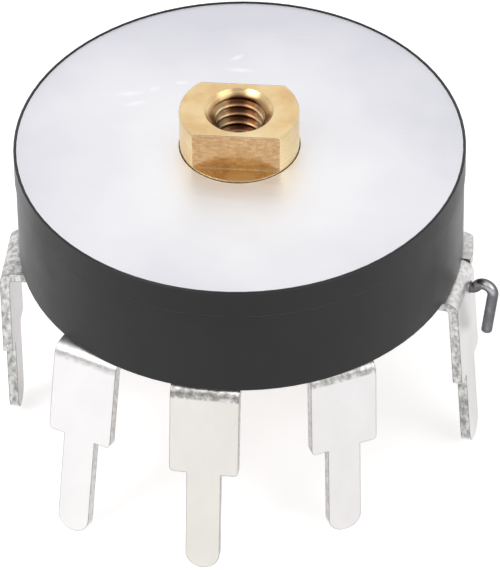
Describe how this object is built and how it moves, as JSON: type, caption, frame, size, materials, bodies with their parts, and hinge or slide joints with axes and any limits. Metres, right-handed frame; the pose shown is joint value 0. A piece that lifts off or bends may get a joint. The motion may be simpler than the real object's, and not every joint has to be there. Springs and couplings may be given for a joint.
{
  "type": "switched potentiometer",
  "caption": "Round thumbwheel potentiometer with a built-in switch, a metal-faced black case, a tapped brass shaft with flats and solder legs below.",
  "frame": {"origin": "on the shaft's axis, level with the top face of the metal cover", "axes": "+Z along the shaft, out of its threaded hole; -Y through the middle terminal; +X through the switch terminal beside the hooked wire"},
  "size_m": [0.0178, 0.0173, 0.0137],
  "materials": {
    "case_plastic": "satin moulded black",
    "cover_metal": "smooth bright metal, a little milky",
    "brass": "turned and milled, unplated",
    "washer_plastic": "natural nylon",
    "rotor_plastic": "natural moulded",
    "spring_bronze": "rolled phosphor bronze",
    "laminate": "brown paper laminate",
    "carbon": "printed carbon",
    "silver_print": "printed silver",
    "silver_plate": "plated strip, soft shine",
    "eyelet_metal": "plated, set by rolling",
    "spring_wire": "bright dark spring wire",
    "washer_steel": "plain steel"
  },
  "bodies": {
    "housing": {"upper_case": "case_plastic", "lower_case": "case_plastic", "cover_disc": "cover_metal", "base_board": "laminate", "carbon_track": "carbon", "end_pads": "silver_print", "collector_ring": "silver_print", "track_start_terminal": "silver_plate", "wiper_terminal": "silver_plate", "track_end_terminal": "silver_plate", "switch_in_terminal": "silver_plate", "switch_out_terminal": "silver_plate", "terminal_eyelets": "eyelet_metal", "fixed_contact": "spring_bronze", "contact_button": "silver_plate", "switch_spring": "spring_wire"},
    "spindle": {"shaft": "brass", "thrust_washer": "washer_plastic", "rotor": "rotor_plastic", "wiper": "spring_bronze", "end_washer": "washer_steel"}
  },
  "joints": [
    {"name": "shaft_turn", "type": "hinge", "parent": "housing", "child": "spindle", "pos_m": [0, 0, 0], "axis": [0, 0, -1], "range_deg": [0, 300], "deforming": ["switch_spring"]}
  ]
}
